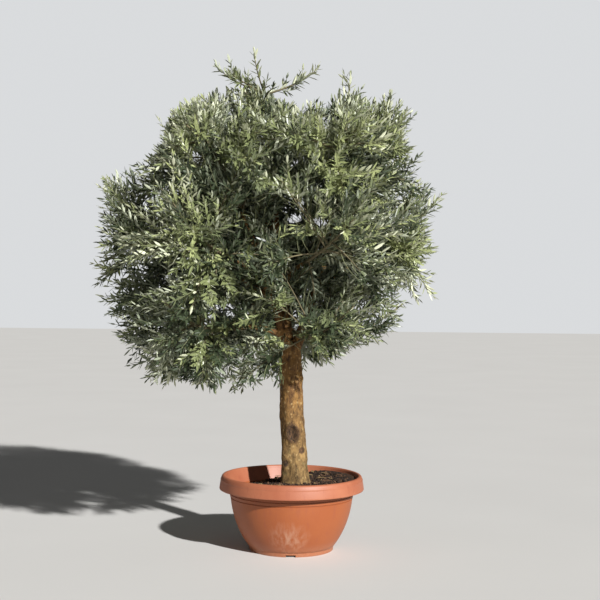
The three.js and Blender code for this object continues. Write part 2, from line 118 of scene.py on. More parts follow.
def pieceFromArrays(name, vertices, faces):
    mesh = bpy.data.meshes.new(name)
    mesh.from_pydata(vertices, [], faces)
    mesh.update()
    piece = bpy.data.objects.new(name, mesh)
    scene.collection.objects.link(piece)
    return piece


def applyModifier(piece, name, kind, settings):
    makeActive(piece)
    modifier = piece.modifiers.new(name, kind)
    for key, value in settings.items():
        setattr(modifier, key, value)
    bpy.ops.object.modifier_apply(modifier=name)


def finishPiece(piece, slot, *nodes):
    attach(piece, "root")
    if nodes:
        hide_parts(*nodes)


def smoothByAngle(piece, degrees):
    makeActive(piece)
    bpy.ops.object.shade_smooth_by_angle(angle=math.radians(degrees))


# A profile of (radius, height) points spun about the upright axis.
def spunPiece(name, profile, steps):
    vertices = [(radius, 0, height) for radius, height in profile]
    edges = [(i, i + 1) for i in range(len(profile) - 1)]
    mesh = bpy.data.meshes.new(name)
    mesh.from_pydata(vertices, edges, [])
    piece = bpy.data.objects.new(name, mesh)
    scene.collection.objects.link(piece)
    makeActive(piece)
    bpy.ops.object.mode_set(mode="EDIT")
    bpy.ops.mesh.select_all(action="SELECT")
    bpy.ops.mesh.spin(steps=steps, angle=2 * math.pi, center=(0, 0, 0), axis=(0, 0, 1))
    bpy.ops.mesh.select_all(action="SELECT")
    bpy.ops.mesh.remove_doubles(threshold=0.00002)
    bpy.ops.mesh.normals_make_consistent(inside=False)
    bpy.ops.object.mode_set(mode="OBJECT")
    return piece


def bezierPoints(corners, shares):
    shares = np.atleast_1d(shares)[:, None]
    rest = 1 - shares
    if len(corners) == 3:
        a, b, c = corners
        return a * rest ** 2 + 2 * b * rest * shares + c * shares ** 2
    a, b, c, d = corners
    return a * rest ** 3 + 3 * b * rest ** 2 * shares + 3 * c * rest * shares ** 2 + d * shares ** 3


def unit(vector):
    return vector / np.maximum(np.linalg.norm(vector, axis=-1, keepdims=True), 1e-12)


def bezierTangents(corners, shares):
    step = 1e-4
    low = np.clip(np.atleast_1d(shares) - step, 0, 1)
    high = np.clip(np.atleast_1d(shares) + step, 0, 1)
    return unit(bezierPoints(corners, high) - bezierPoints(corners, low))


def curveLength(corners):
    points = bezierPoints(corners, np.linspace(0, 1, 24))
    return float(np.linalg.norm(np.diff(points, axis=0), axis=1).sum())


# Pot: injection-moulded polypropylene in a terracotta colour
pot = {
    "steps": 144,
    "height": 0.278,
    "wall": 0.0045,
    "footRadius": 0.159,
    "foot": [(0.162, 0.0156), (0.227, 0.102), (0.232, 0.222)],  # the bowl's curve
    "bowlSteps": 20,
    "beads": [0.1970, 0.2112],  # heights of the two fine grooves under the lip, each with a step outwards
    "beadStep": 0.0016,
    "padRadius": 0.034,
    "undersideRise": 0.009,
    "notch": (0.036, 0.048, 0.016),
    "drainRadius": 0.007,
    "drainCircle": 0.095,
}


def bowlWall(inwards, beads):
    corners = [np.array(point) for point in pot["foot"]]
    wall = []
    for share in np.linspace(0, 1, pot["bowlSteps"] + 1):
        place = bezierPoints(corners, share)[0]
        along = bezierTangents(corners, share)[0]
        wall.append([place[0] - along[1] * inwards, place[1] + along[0] * inwards])
    if not beads:
        return wall
    heights = [point[1] for point in wall]
    radii = [point[0] for point in wall]
    lowest = min(pot["beads"]) - 0.006
    stepped = [point for point in wall if point[1] < lowest]
    out = 0
    for bead in sorted(pot["beads"]):
        radius = float(np.interp(bead, heights, radii))
        stepped.append([radius + out, bead - 0.0034])
        stepped.append([radius + out - 0.0024, bead - 0.0022])
        stepped.append([radius + out - 0.0024, bead + 0.0002])
        out += pot["beadStep"]
        stepped.append([radius + out, bead + 0.0012])
    stepped.append([radii[-1] + out, heights[-1]])
    return stepped


def buildPot():
    floorTop = pot["undersideRise"] + pot["wall"]
    foot = pot["footRadius"]
    top = pot["height"]
    lip = [  # skirt, rounded rim and its inside
        (0.2345, 0.2262), (0.2375, 0.2285), (0.2655, 0.2640), (0.2672, 0.2655), (0.2680, 0.2640),
        (0.2682, 0.2600), (0.2678, 0.2300), (0.2683, 0.2272), (0.2700, 0.2262), (0.2718, 0.2268),
        (0.2725, 0.2285), (0.2722, 0.2320), (0.2706, 0.2430), (0.2688, 0.2540), (0.2668, 0.2640),
        (0.2655, 0.2695), (0.2638, 0.2738), (0.2612, 0.2767), (0.2578, top), (0.2548, top),
        (0.2520, 0.2768), (0.2502, 0.2742), (0.2492, 0.2705), (0.2484, 0.2660), (0.2300, 0.2292),
    ]
    inside = bowlWall(pot["wall"], False)
    profile = [(0, 0), (pot["padRadius"] - 0.001, 0), (pot["padRadius"], 0.001)]
    profile += [(pot["padRadius"], pot["undersideRise"]), (foot - 0.012, pot["undersideRise"])]
    profile += [(foot - 0.012, 0.0008), (foot - 0.0112, 0), (foot - 0.002, 0)]
    profile += [(foot - 0.0006, 0.0006), (foot, 0.002)]
    profile += [(foot + 0.0006, 0.0125), (foot + 0.0012, 0.0142), (foot + 0.0025, 0.0154)]
    profile += bowlWall(0, True) + lip + inside[::-1]
    profile += [(foot - 0.0015, floorTop + 0.0012), (foot - 0.004, floorTop), (0, floorTop)]
    bowl = spunPiece("pot_moulded", profile, pot["steps"])
    cutters = []
    for i in range(4):
        angle = i * math.pi / 2
        place = (foot * math.sin(angle), -foot * math.cos(angle), 0)
        deselectAll()
        bpy.ops.mesh.primitive_cube_add(size=1, location=place, rotation=(0, 0, angle), scale=pot["notch"])
        cutters.append(bpy.context.object)
        across = angle + math.pi / 4
        place = (pot["drainCircle"] * math.cos(across), pot["drainCircle"] * math.sin(across), floorTop / 2)
        bpy.ops.mesh.primitive_cylinder_add(
            vertices=24, radius=pot["drainRadius"], depth=0.04, location=place)
        cutters.append(bpy.context.object)
    makeActive(cutters[0])
    for cutter in cutters:
        cutter.select_set(True)
    bpy.ops.object.join()
    cut = {"object": cutters[0], "operation": "DIFFERENCE", "solver": "EXACT"}
    applyModifier(bowl, "openings", "BOOLEAN", cut)
    bpy.data.objects.remove(cutters[0])
    smoothByAngle(bowl, 35)
    return bowl


# Moulded plastic: an even satin skin, sun-faded pink on the lip, with lime and dust low on the bowl.
def potMaterial():
    material, tree, shader = newMaterial("moulded_polypropylene_sun_faded", 0.46, 1.49)
    place = addNode(tree, "TexCoord", {}, {}).outputs["Object"]
    height = addNode(tree, "SeparateXYZ", {}, {"Vector": place}).outputs["Z"]
    cloud = addNode(tree, "TexNoise", {}, {"Vector": place, "Scale": 9.0, "Detail": 4.0, "Roughness": 0.6})
    wavy = addNode(tree, "Math", {"operation": "MULTIPLY_ADD"}, {0: cloud, 1: 0.004, 2: height})
    lipShare = addNode(tree, "MapRange", {}, {"Value": wavy, "From Min": 0.2270, "From Max": 0.2286})
    body = addNode(tree, "Mix", colourMix, {0: cloud, 6: srgb("#924b28"), 7: srgb("#a25b30")})
    faded = addNode(tree, "Mix", colourMix, {0: cloud, 6: srgb("#965138"), 7: srgb("#b06f4f")})
    base = addNode(tree, "Mix", colourMix, {0: lipShare, 6: body, 7: faded})
    # drips and rubbed marks 3 to 6 mm wide that run down the wall
    tall = addNode(tree, "Mapping", {}, {"Vector": place, "Scale": (60.0, 60.0, 7.0)})
    drips = addNode(tree, "TexNoise", {}, {"Vector": tall, "Scale": 1.0, "Detail": 3.0, "Roughness": 0.65})
    dripShare = addNode(tree, "MapRange", {},
                        {"Value": drips, "From Min": 0.56, "From Max": 0.74, "To Max": 0.5})
    dripped = addNode(tree, "Mix", colourMix, {0: dripShare, 6: base, 7: srgb("#8d4a35")})
    # lime: a pale patch low at the front, broken up by the same drips
    patch = addNode(tree, "Mapping", {},
                    {"Vector": place, "Location": (0.10, 3.8, -0.62), "Scale": (10.0, 19.0, 10.0)})
    near = addNode(tree, "TexGradient", {"gradient_type": "SPHERICAL"}, {"Vector": patch})
    fine = addNode(tree, "TexNoise", {}, {"Vector": tall, "Scale": 1.2, "Detail": 5.0, "Roughness": 0.6})
    streak = addNode(tree, "MapRange", {}, {"Value": fine, "From Min": 0.38, "From Max": 0.72})
    both = addNode(tree, "Math", {"operation": "MULTIPLY"}, {0: near, 1: streak})
    limeShare = addNode(tree, "MapRange", {},
                        {"Value": both, "From Min": 0.04, "From Max": 0.60, "To Max": 0.36})
    limed = addNode(tree, "Mix", colourMix, {0: limeShare, 6: dripped, 7: srgb("#cfae95")})
    # dust that lies in specks of 2 mm in the angle above the foot
    low = addNode(tree, "MapRange", {},
                  {"Value": height, "From Min": 0.05, "From Max": 0.012, "To Max": 0.5})
    dust = addNode(tree, "TexNoise", {}, {"Vector": place, "Scale": 120.0, "Detail": 3.0})
    specks = addNode(tree, "Math", {"operation": "MULTIPLY"}, {0: low, 1: dust})
    dusty = addNode(tree, "Mix", colourMix, {0: specks, 6: limed, 7: srgb("#b08a70")})
    tree.links.new(dusty.outputs[2], shader.inputs["Base Color"])
    rough = addNode(tree, "MapRange", {}, {"Value": cloud, "To Min": 0.40, "To Max": 0.60})
    tree.links.new(rough.outputs[0], shader.inputs["Roughness"])
    grain = addNode(tree, "TexNoise", {}, {"Vector": place, "Scale": 420.0, "Detail": 2.0})
    mixed = addNode(tree, "Math", {"operation": "MULTIPLY_ADD"}, {0: drips, 1: 0.6, 2: grain})
    bump = addNode(tree, "Bump", {}, {"Height": mixed, "Strength": 0.12, "Distance": 0.002})
    tree.links.new(bump.outputs[0], shader.inputs["Normal"])
    return material


potPiece = buildPot()
potPiece.data.materials.clear()
potPiece.data.materials.append(potMaterial())
finishPiece(potPiece, "pot", "pot")
print("pot", len(potPiece.data.polygons))


# Crown: the rule that the solids grow by
crown = {
    "middle": np.array([-0.092, 0.0, 1.170]),
    "halfWidth": 0.640,
    "depthRatio": 0.95,
    "rise": 0.700,
    "fall": 0.600,
    "squareness": 2.3,
    "droopStart": 1.100,
    "droopRun": 0.400,
    "droopShift": 0.110,
}
tiers = [  # name, count, height, ring, turn, height at which the boughs leave the main limbs
    ("low", 5, 0.850, 0.60, 0.30, 0.800),
    ("mid", 6, 1.160, 0.64, 0.00, 0.940),
    ("high", 5, 1.480, 0.58, 0.35, 1.190),
    ("top", 1, 1.700, 0.05, 2.60, 1.400),
]
limb = {
    "tipRadius": 0.007,
    "mainArch": 0.030,
    "sideRadius": 0.0125,
    "sideArch": 0.036,
    "entryRun": 0.150,
}
mainLimbs = [  # mass, start, bend, radius
    ("top", (-0.020, 0.000, 0.735), (-0.048, 0.004, 0.930), 0.027),
    ("high_1", (0.002, -0.004, 0.742), (0.070, -0.030, 0.900), 0.023),
    ("high_2", (-0.012, 0.014, 0.738), (-0.030, 0.110, 0.900), 0.021),
    ("high_4", (-0.022, -0.016, 0.745), (-0.060, -0.120, 0.920), 0.019),
]
goldenAngle = math.pi * (3 - math.sqrt(5))


# A number from 0 to 1 that depends only on the seed and the whole numbers given.
def chance(*keys):
    mask = 0xFFFFFFFF
    mixed = (2166136261 ^ seed) & mask
    for key in keys:
        mixed = ((mixed ^ (key & mask)) * 16777619) & mask
        mixed ^= mixed >> 15
        mixed = (mixed * 2246822507) & mask
        mixed ^= mixed >> 13
    return mixed / 4294967296


def spread(low, high, *keys):
    return low + (high - low) * chance(*keys)


def crownHalf(height):
    height = np.asarray(height, float)
    run = np.where(height > crown["middle"][2], crown["rise"], crown["fall"])
    share = np.abs(height - crown["middle"][2]) / run
    power = crown["squareness"]
    return crown["halfWidth"] * np.maximum(0, 1 - share ** power) ** (1 / power)


def crownAxis(height):
    height = np.asarray(height, float)
    droop = np.maximum(0, (crown["droopStart"] - height) / crown["droopRun"])
    across = crown["middle"][0] - crown["droopShift"] * droop ** 2
    return np.stack([across, np.full_like(across, crown["middle"][1]), height], axis=-1)


# How far a point stands out, as a share of the crown's half width there.
def crownShare(points):
    axis = crownAxis(points[..., 2])
    deep = (points[..., 1] - axis[..., 1]) / crown["depthRatio"]
    return np.hypot(points[..., 0] - axis[..., 0], deep) / np.maximum(crownHalf(points[..., 2]), 1e-6)


def makeMasses():
    masses = []
    for tier, count, height, ring, turn, leave in tiers:
        for i in range(count):
            angle = turn + i * 2 * math.pi / count
            out = ring * float(crownHalf(height))
            middle = crownAxis(height)
            middle[0] += out * math.cos(angle)
            middle[1] += out * crown["depthRatio"] * math.sin(angle)
            name = f"{tier}_{i + 1}" if count > 1 else tier
            masses.append({"name": name, "tier": tier, "leave": leave, "middle": middle, "key": len(masses)})
    return masses


masses = makeMasses()
middles = np.array([mass["middle"] for mass in masses])


# How far points lie inside a mass's own space, which ends halfway to each neighbour.
def depthInSpace(mass, points):
    points = np.atleast_2d(points)
    own = ((points - mass["middle"]) ** 2).sum(1)
    others = np.delete(middles, mass["key"], axis=0)
    apart = np.linalg.norm(others - mass["middle"], axis=1)
    far = ((points[:, None, :] - others[None]) ** 2).sum(2)
    return ((far - own[:, None]) / (2 * apart)).min(1)


def entryPoint(mass, start):
    return mass["middle"] + unit(start - mass["middle"]) * limb["entryRun"]


def makeBoughs():
    boughs = []
    for name, start, bend, radius in mainLimbs:
        mass = next(one for one in masses if one["name"] == name)
        start, bend = np.array(start), np.array(bend)
        above = bend + (mass["middle"] - bend) * 0.55 + upward * limb["mainArch"]
        corners = [start, bend, above, entryPoint(mass, above)]
        boughs.append({"mass": mass, "corners": corners, "radius": radius})
    main = list(boughs)
    for mass in masses:
        if any(bough["mass"] is mass for bough in main):
            continue
        best = None
        for bough in main:
            for share in np.arange(0.1, 0.8, 0.02):
                point = bezierPoints(bough["corners"], share)[0]
                cost = np.linalg.norm(point - mass["middle"]) + 2 * abs(point[2] - mass["leave"])
                if best is None or cost < best[0]:
                    best = (cost, point, limbRadius(bough, share))
        start = best[1]
        end = entryPoint(mass, start)
        through = (start + end) / 2 + upward * limb["sideArch"]
        radius = min(limb["sideRadius"], best[2] * 0.8)
        boughs.append({"mass": mass, "corners": [start, through, end], "radius": radius})
    return boughs


def limbRadius(bough, share):
    return bough["radius"] + (limb["tipRadius"] - bough["radius"]) * share ** 0.8


boughs = makeBoughs()

# Trunk and boughs: bark with its relief
bark = {
    "foot": np.array([0.013, 0.0, 0.238]),
    "waist": np.array([0.005, 0.002, 0.480]),
    "top": np.array([-0.019, 0.0, 0.786]),
    "footRadius": 0.049,
    "forkRadius": 0.043,
    "flare": 0.011,
    "flareRun": 0.042,
    "flareRight": 0.45,
    "flareLobes": 0.3,
    "dome": 0.034,
    "voxel": 0.0034,
    "smoothing": 5,
    "scar": (0.001, 0.438),  # right and height of the dark oval knot at the front
    "scarSize": (0.021, 0.029),
}
trunkCorners = [bark["foot"], bark["waist"], bark["top"]]
trunkLength = curveLength(trunkCorners)


def trunkRadius(share):
    left = trunkLength * (1 - share)
    taper = bark["footRadius"] + (bark["forkRadius"] - bark["footRadius"]) * share
    flare = bark["flare"] * math.exp(-share * trunkLength / bark["flareRun"])
    dome = math.sqrt(max(0.12, 1 - max(0, 1 - left / bark["dome"]) ** 2))
    return (taper + flare) * dome


def addLimb(curve, corners, radiusAt, count):
    spline = curve.splines.new("POLY")
    spline.points.add(count - 1)
    for i, share in enumerate(np.linspace(0, 1, count)):
        place = bezierPoints(corners, share)[0]
        spline.points[i].co = (*place, 1)
        spline.points[i].radius = radiusAt(share)


# Knots, swellings and small pits on the trunk: angle about the axis, height, size, push.
trunkMarks = [
    (-0.85, 0.374, 0.012, -0.0045), (-2.10, 0.325, 0.010, -0.0040), (-2.60, 0.560, 0.022, 0.0050),
    (-0.30, 0.640, 0.024, 0.0060), (-1.10, 0.700, 0.030, 0.0070), (-2.20, 0.735, 0.026, 0.0060),
    (0.60, 0.480, 0.024, 0.0045), (2.40, 0.400, 0.026, 0.0050), (1.50, 0.620, 0.028, 0.0050),
    (-0.70, 0.530, 0.014, -0.0025), (3.00, 0.300, 0.018, 0.0035), (-1.60, 0.600, 0.018, 0.0035),
]


def trunkRelief(place, angle, height):
    uneven = bark["flareRight"] * math.cos(angle) + bark["flareLobes"] * math.sin(4 * angle)
    lobes = bark["flare"] * uneven * math.exp(-(height - 0.238) / bark["flareRun"])
    flutes = 0.0016 * math.sin(3 * angle + height / 0.09) + 0.0012 * math.sin(5 * angle - height / 0.07)
    lumps = 0.0042 * noise.noise(Vector((place[0] * 22, place[1] * 22, place[2] * 11)))
    lumps += 0.0022 * noise.noise(Vector((place[0] * 60 + 5, place[1] * 60, place[2] * 40)))
    push = lobes + flutes + lumps
    for at, level, size, amount in trunkMarks:
        turn = (angle - at + math.pi) % (2 * math.pi) - math.pi
        away = math.hypot(turn * 0.048, height - level) / size
        push += amount * math.exp(-away * away * 2)
    across = (place[0] - bark["scar"][0]) / bark["scarSize"][0]
    over = (place[2] - bark["scar"][1]) / bark["scarSize"][1]
    away = math.hypot(across, over)
    if place[1] < 0 and away < 2.2:  # a healed cut: a raised collar round a sunken middle
        push += 0.0042 * math.exp(-((away - 1.05) * 3.2) ** 2) - 0.0050 * math.exp(-(away * 1.25) ** 4)
    return push


# Scaly ridges and cracks, finer on thinner wood.
def barkRelief(place, thick):
    fine = 0.012 + 0.35 * thick
    at = Vector((place[0] / fine, place[1] / fine, place[2] / (fine * (1 + 12 * thick))))
    plates = noise.noise(at)
    second = noise.noise(at * 2.3 + Vector((7, 3, 1)))
    crack = max(0, 1 - abs(plates) / 0.10) * 0.6 + max(0, 1 - abs(second) / 0.08) * 0.3
    return thick * (0.026 * second - 0.014 * crack)


def buildBark():
    curve = bpy.data.curves.new("limbs", "CURVE")
    curve.dimensions = "3D"
    curve.bevel_depth = 1
    curve.bevel_resolution = 6
    curve.use_fill_caps = True
    addLimb(curve, trunkCorners, trunkRadius, 60)
    for bough in boughs:
        addLimb(curve, bough["corners"], lambda share: limbRadius(bough, share), 30)
    limbs = bpy.data.objects.new("bark", curve)
    scene.collection.objects.link(limbs)
    makeActive(limbs)
    bpy.ops.object.convert(target="MESH")
    limbs = bpy.context.object
    applyModifier(limbs, "union", "REMESH", {"mode": "VOXEL", "voxel_size": bark["voxel"]})
    applyModifier(limbs, "soften", "SMOOTH", {"factor": 0.5, "iterations": bark["smoothing"]})
    return limbs


def axisSamples():
    shares = np.linspace(0, 1, 41)
    places = [bezierPoints(trunkCorners, shares)]
    radii = [np.array([trunkRadius(share) for share in shares])]
    for bough in boughs:
        places.append(bezierPoints(bough["corners"], shares))
        radii.append(limbRadius(bough, shares))
    return np.concatenate(places), np.concatenate(radii)


axisPlaces, axisRadii = axisSamples()


# The distance from each point to the nearest limb's surface, and that limb's radius.
def nearestLimb(points):
    distances, radii = [], []
    for start in range(0, len(points), 4000):
        some = points[start:start + 4000]
        away = np.linalg.norm(some[:, None, :] - axisPlaces[None], axis=2) - axisRadii
        best = away.argmin(1)
        distances.append(away[np.arange(len(some)), best])
        radii.append(axisRadii[best])
    return np.concatenate(distances), np.concatenate(radii)


def relieveBark(piece):
    mesh = piece.data
    count = len(mesh.vertices)
    places = np.zeros(count * 3)
    normals = np.zeros(count * 3)
    mesh.vertices.foreach_get("co", places)
    mesh.vertices.foreach_get("normal", normals)
    places, normals = places.reshape(-1, 3), normals.reshape(-1, 3)
    radii = nearestLimb(places)[1]
    shares = np.linspace(0, 1, 60)
    axis = bezierPoints(trunkCorners, shares)
    moved = np.zeros(count)
    for i in range(count):
        place = places[i]
        thick = min(0.05, radii[i])
        push = barkRelief(place, thick)
        if place[2] < 0.80:
            across = place[0] - np.interp(place[2], axis[:, 2], axis[:, 0])
            deep = place[1] - np.interp(place[2], axis[:, 2], axis[:, 1])
            fade = min(1, max(0, (0.80 - place[2]) / 0.05)) * min(1, max(0, (thick - 0.02) / 0.015))
            push += fade * trunkRelief(place, math.atan2(deep, across), place[2])
        if place[2] < 0.243:
            push = 0
        moved[i] = push
    places += normals * moved[:, None]
    mesh.vertices.foreach_set("co", places.ravel())
    mesh.update()


# The dark places on the bark: right, depth, height, half width, half height.
barkScars = [
    (0.001, -0.047, 0.438, 0.038, 0.052), (0.038, -0.036, 0.374, 0.019, 0.017),
    (-0.024, -0.040, 0.325, 0.020, 0.019),
]


# Olive bark: warm tan where it has scaled, grey-green with age and moss lower down, dark in the
# cracks, freckled all over with pale corky dots.
def barkMaterial():
    material, tree, shader = newMaterial("olive_bark_scaled_and_freckled", 0.88, 1.45)
    place = addNode(tree, "TexCoord", {}, {}).outputs["Object"]
    height = addNode(tree, "SeparateXYZ", {}, {"Vector": place}).outputs["Z"]
    tall = addNode(tree, "Mapping", {}, {"Vector": place, "Scale": (1.0, 1.0, 0.4)})
    broad = addNode(tree, "TexNoise", {}, {"Vector": tall, "Scale": 44.0, "Detail": 6.0, "Roughness": 0.72})
    shade = addNode(tree, "MapRange", {}, {"Value": broad, "From Min": 0.36, "From Max": 0.62})
    warm = addNode(tree, "Mix", colourMix, {0: shade, 6: srgb("#4b3019"), 7: srgb("#8f6a38")})
    grey = addNode(tree, "Mix", colourMix, {0: shade, 6: srgb("#4d3a20"), 7: srgb("#a08050")})
    lower = addNode(tree, "MapRange", {}, {"Value": height, "From Min": 0.56, "From Max": 0.34})
    wood = addNode(tree, "Mix", colourMix, {0: lower, 6: warm, 7: grey})
    plates = addNode(tree, "TexNoise", {},
                     {"Vector": tall, "Scale": 120.0, "Detail": 4.0, "Roughness": 0.7})
    crackShare = addNode(tree, "MapRange", {},
                         {"Value": plates, "From Min": 0.47, "From Max": 0.33, "To Max": 0.8})
    cracked = addNode(tree, "Mix", colourMix, {0: crackShare, 6: wood, 7: srgb("#3d2b1c")})
    dots = addNode(tree, "TexVoronoi", {}, {"Vector": place, "Scale": 62.0, "Randomness": 1.0})
    ragged = addNode(tree, "Math", {"operation": "MULTIPLY_ADD"}, {0: broad, 1: -0.9, 2: dots})
    dotShare = addNode(tree, "MapRange", {},
                       {"Value": ragged, "From Min": -0.14, "From Max": -0.40, "To Max": 0.55})
    dotted = addNode(tree, "Mix", colourMix, {0: dotShare, 6: cracked, 7: srgb("#bfa271")})
    moss = addNode(tree, "TexNoise", {}, {"Vector": place, "Scale": 48.0, "Detail": 4.0})
    mossShare = addNode(tree, "MapRange", {},
                        {"Value": moss, "From Min": 0.58, "From Max": 0.74, "To Max": 0.35})
    mossLow = addNode(tree, "Math", {"operation": "MULTIPLY"}, {0: mossShare, 1: lower})
    mossy = addNode(tree, "Mix", colourMix, {0: mossLow, 6: dotted, 7: srgb("#6c7048")})
    scarred = mossy
    tallest = addNode(tree, "Mapping", {}, {"Vector": place, "Scale": (1.0, 1.0, 0.3)})
    flecks = addNode(tree, "TexNoise", {},
                     {"Vector": tallest, "Scale": 190.0, "Detail": 4.0, "Roughness": 0.7})
    fleckShare = addNode(tree, "MapRange", {}, {"Value": flecks, "From Min": 0.42, "From Max": 0.66})
    scarTone = addNode(tree, "Mix", colourMix, {0: fleckShare, 6: srgb("#1d140e"), 7: srgb("#6a4c33")})
    for across, deep, level, wide, high in barkScars:  # dark healed wounds, ragged at the edge
        sizes = (1 / wide, 1 / wide, 1 / high)
        where = {"Location": (-across / wide, -deep / wide, -level / high), "Scale": sizes}
        scarPlace = addNode(tree, "Mapping", {}, {"Vector": place, **where})
        scar = addNode(tree, "TexGradient", {"gradient_type": "SPHERICAL"}, {"Vector": scarPlace})
        ragged = addNode(tree, "Math", {"operation": "MULTIPLY_ADD"}, {0: flecks, 1: 1.1, 2: scar})
        scarShare = addNode(tree, "MapRange", {},
                            {"Value": ragged, "From Min": 0.74, "From Max": 0.92, "To Max": 0.92})
        scarred = addNode(tree, "Mix", colourMix, {0: scarShare, 6: scarred, 7: scarTone.outputs[2]})
    tree.links.new(scarred.outputs[2], shader.inputs["Base Color"])
    depth = addNode(tree, "Math", {"operation": "MULTIPLY_ADD"}, {0: broad, 1: 0.8, 2: dotShare})
    deeper = addNode(tree, "Math", {"operation": "SUBTRACT"}, {0: depth, 1: crackShare})
    bump = addNode(tree, "Bump", {}, {"Height": deeper, "Strength": 0.6, "Distance": 0.002})
    tree.links.new(bump.outputs[0], shader.inputs["Normal"])
    return material


barkPiece = buildBark()
relieveBark(barkPiece)
barkPiece.data.materials.clear()
barkPiece.data.materials.append(barkMaterial())
makeActive(barkPiece)
bpy.ops.object.shade_smooth()
finishPiece(barkPiece, "bark", "trunk", *["bough_" + mass["name"] for mass in masses])
print("bark", len(barkPiece.data.polygons))

# Foliage: the solids' shoots, with finer twigs on them and leaves at their real size
growth = {
    "stemLift": 0.120,
    "shootsPerMass": 5,
    "shootMost": 0.380,
    "shootLeast": 0.050,
    "runStep": 0.012,
    "tipRoom": 0.050,
    "farTipSpread": 0.140,
    "fineTipSpread": 0.250,
    "strayTips": 12,
    "strayReach": 1.05,
    "twigPitch": 0.033,
    "twigLength": (0.10, 0.22),
    "farTwigLength": (0.035, 0.070),
    "farTwigShare": 0.3,
    "twigLean": (0.45, 0.95),
    "twigsUpTo": 0.92,  # share of a shoot that bears twigs
    "shortestTwig": 0.030,
    "shortening": 0.8,
    "limbClear": 0.006,
    "stemRadii": (0.0068, 0.0026),
    "shootRadii": (0.0036, 0.0012),
    "twigRadii": (0.0014, 0.0007),
    "leafPitch": 0.0155,
    "leafLean": 0.60,
    "leafLength": (0.033, 0.052),
    "leafSlimness": 0.235,
    "spaceOver": 0.080,  # twigs of neighbouring masses reach this far past their border
    "crownOver": 1.02,
    "heartPitch": 0.042,  # shoots that leave a bough before its tip stand this far apart
    "heartLength": (0.14, 0.30),
    "fineShoots": 6,  # more shoots low on each stem, that fill in between the masses
    "fineOver": 0.060,
    "fineLength": 0.30,
    # the dark third tint is painted shade and the pale fourth tint painted light, so the low tier takes the
    # dark one most and the high tiers the pale one
    "litAndShadedTintShares": {  # how often each of the four tints comes, by tier: painted shade low down, painted light high up
        "low": (0.30, 0.16, 0.46, 0.08), "mid": (0.32, 0.24, 0.26, 0.18),
        "high": (0.28, 0.28, 0.14, 0.30), "top": (0.28, 0.28, 0.14, 0.30),
    },
    "recolour": 0.4,  # how often a twig takes a tint of its own
    # the heart's shoots mostly take the dark third tint: painted shade for the crown's shaded middle
    "heartPaintedShadeTintShares": (0.16, 0.06, 0.76, 0.02),
    "lift": {"low": (-0.55, 0.25), "mid": (-0.15, 0.55), "high": (0.15, 0.85), "top": (0.3, 1.0)},
}
farTips = [
    (-0.167, 1.897), (0.128, 1.853), (-0.344, 1.842), (0.380, 1.765), (-0.490, 1.675), (-0.722, 1.405),
    (-0.744, 0.987), (-0.640, 0.762), (-0.456, 0.572), (0.598, 1.384), (0.556, 0.938),
]
# The outline that the leaves fill closely, as seen from the front: right and height. Only the shoots
# with far tips stand out of it.
fullOutline = np.array([
    (-0.392, 1.676), (-0.467, 1.638), (-0.493, 1.543), (-0.522, 1.471), (-0.612, 1.434),
    (-0.714, 1.384), (-0.728, 1.245), (-0.734, 1.143), (-0.740, 0.942), (-0.686, 0.859),
    (-0.662, 0.746), (-0.600, 0.651), (-0.463, 0.553), (-0.419, 0.636), (-0.278, 0.598),
    (-0.165, 0.572), (-0.052, 0.591), (-0.011, 0.666), (0.042, 0.670), (0.136, 0.700),
    (0.211, 0.764), (0.358, 0.795), (0.414, 0.897), (0.524, 0.908), (0.455, 0.961),
    (0.465, 1.074), (0.529, 1.124), (0.478, 1.264), (0.549, 1.358), (0.447, 1.396),
    (0.484, 1.471), (0.396, 1.547), (0.440, 1.679), (0.315, 1.683), (0.247, 1.695),
    (0.152, 1.713), (0.013, 1.664), (-0.082, 1.679), (-0.139, 1.732), (-0.290, 1.721),
])
fineTips = [  # right and height of smaller shoots that stand out at the top
    (0.000, 1.775), (0.075, 1.800), (0.205, 1.795), (0.285, 1.740), (-0.260, 1.765), (-0.060, 1.745),
    (0.440, 1.690),
]
# Where the wall behind shows through the crown: right, height, half width, half height as seen from
# the front, and how far back the opening starts from. The next two bare the trunk and the fork, and
# the last two are hollows that show the shaded heart.
openings = [
    (0.002, 1.245, 0.030, 0.022, 9), (0.100, 1.240, 0.034, 0.016, 9), (-0.370, 1.470, 0.030, 0.022, 9),
    (0.012, 0.690, 0.056, 0.110, 0.0), (-0.022, 0.850, 0.044, 0.080, -0.02),
    (0.110, 1.050, 0.140, 0.140, -0.27), (-0.060, 1.290, 0.150, 0.050, -0.30),
]


def freeRun(mass, start, way):
    steps = np.arange(1, int(growth["shootMost"] / growth["runStep"]) + 2) * growth["runStep"]
    points = start + way * steps[:, None]
    good = (crownShare(points) < 1) & (depthInSpace(mass, points) > 0.0015) & (steps < growth["shootMost"])
    first = int(np.argmin(good)) if not good.all() else len(steps) - 1
    return steps[first] - growth["runStep"]


# Directions that lean off a line by an angle, turned about that line.
def leaning(along, turn, lean):
    along = np.atleast_2d(along)
    turn, lean = np.atleast_1d(turn)[:, None], np.atleast_1d(lean)[:, None]
    steep = np.abs(along[:, 2:3]) >= 0.9
    level = np.where(steep, np.array([1.0, 0, 0]), upward)
    first = unit(np.cross(level, along))
    second = np.cross(along, first)
    return along * np.cos(lean) + (first * np.cos(turn) + second * np.sin(turn)) * np.sin(lean)


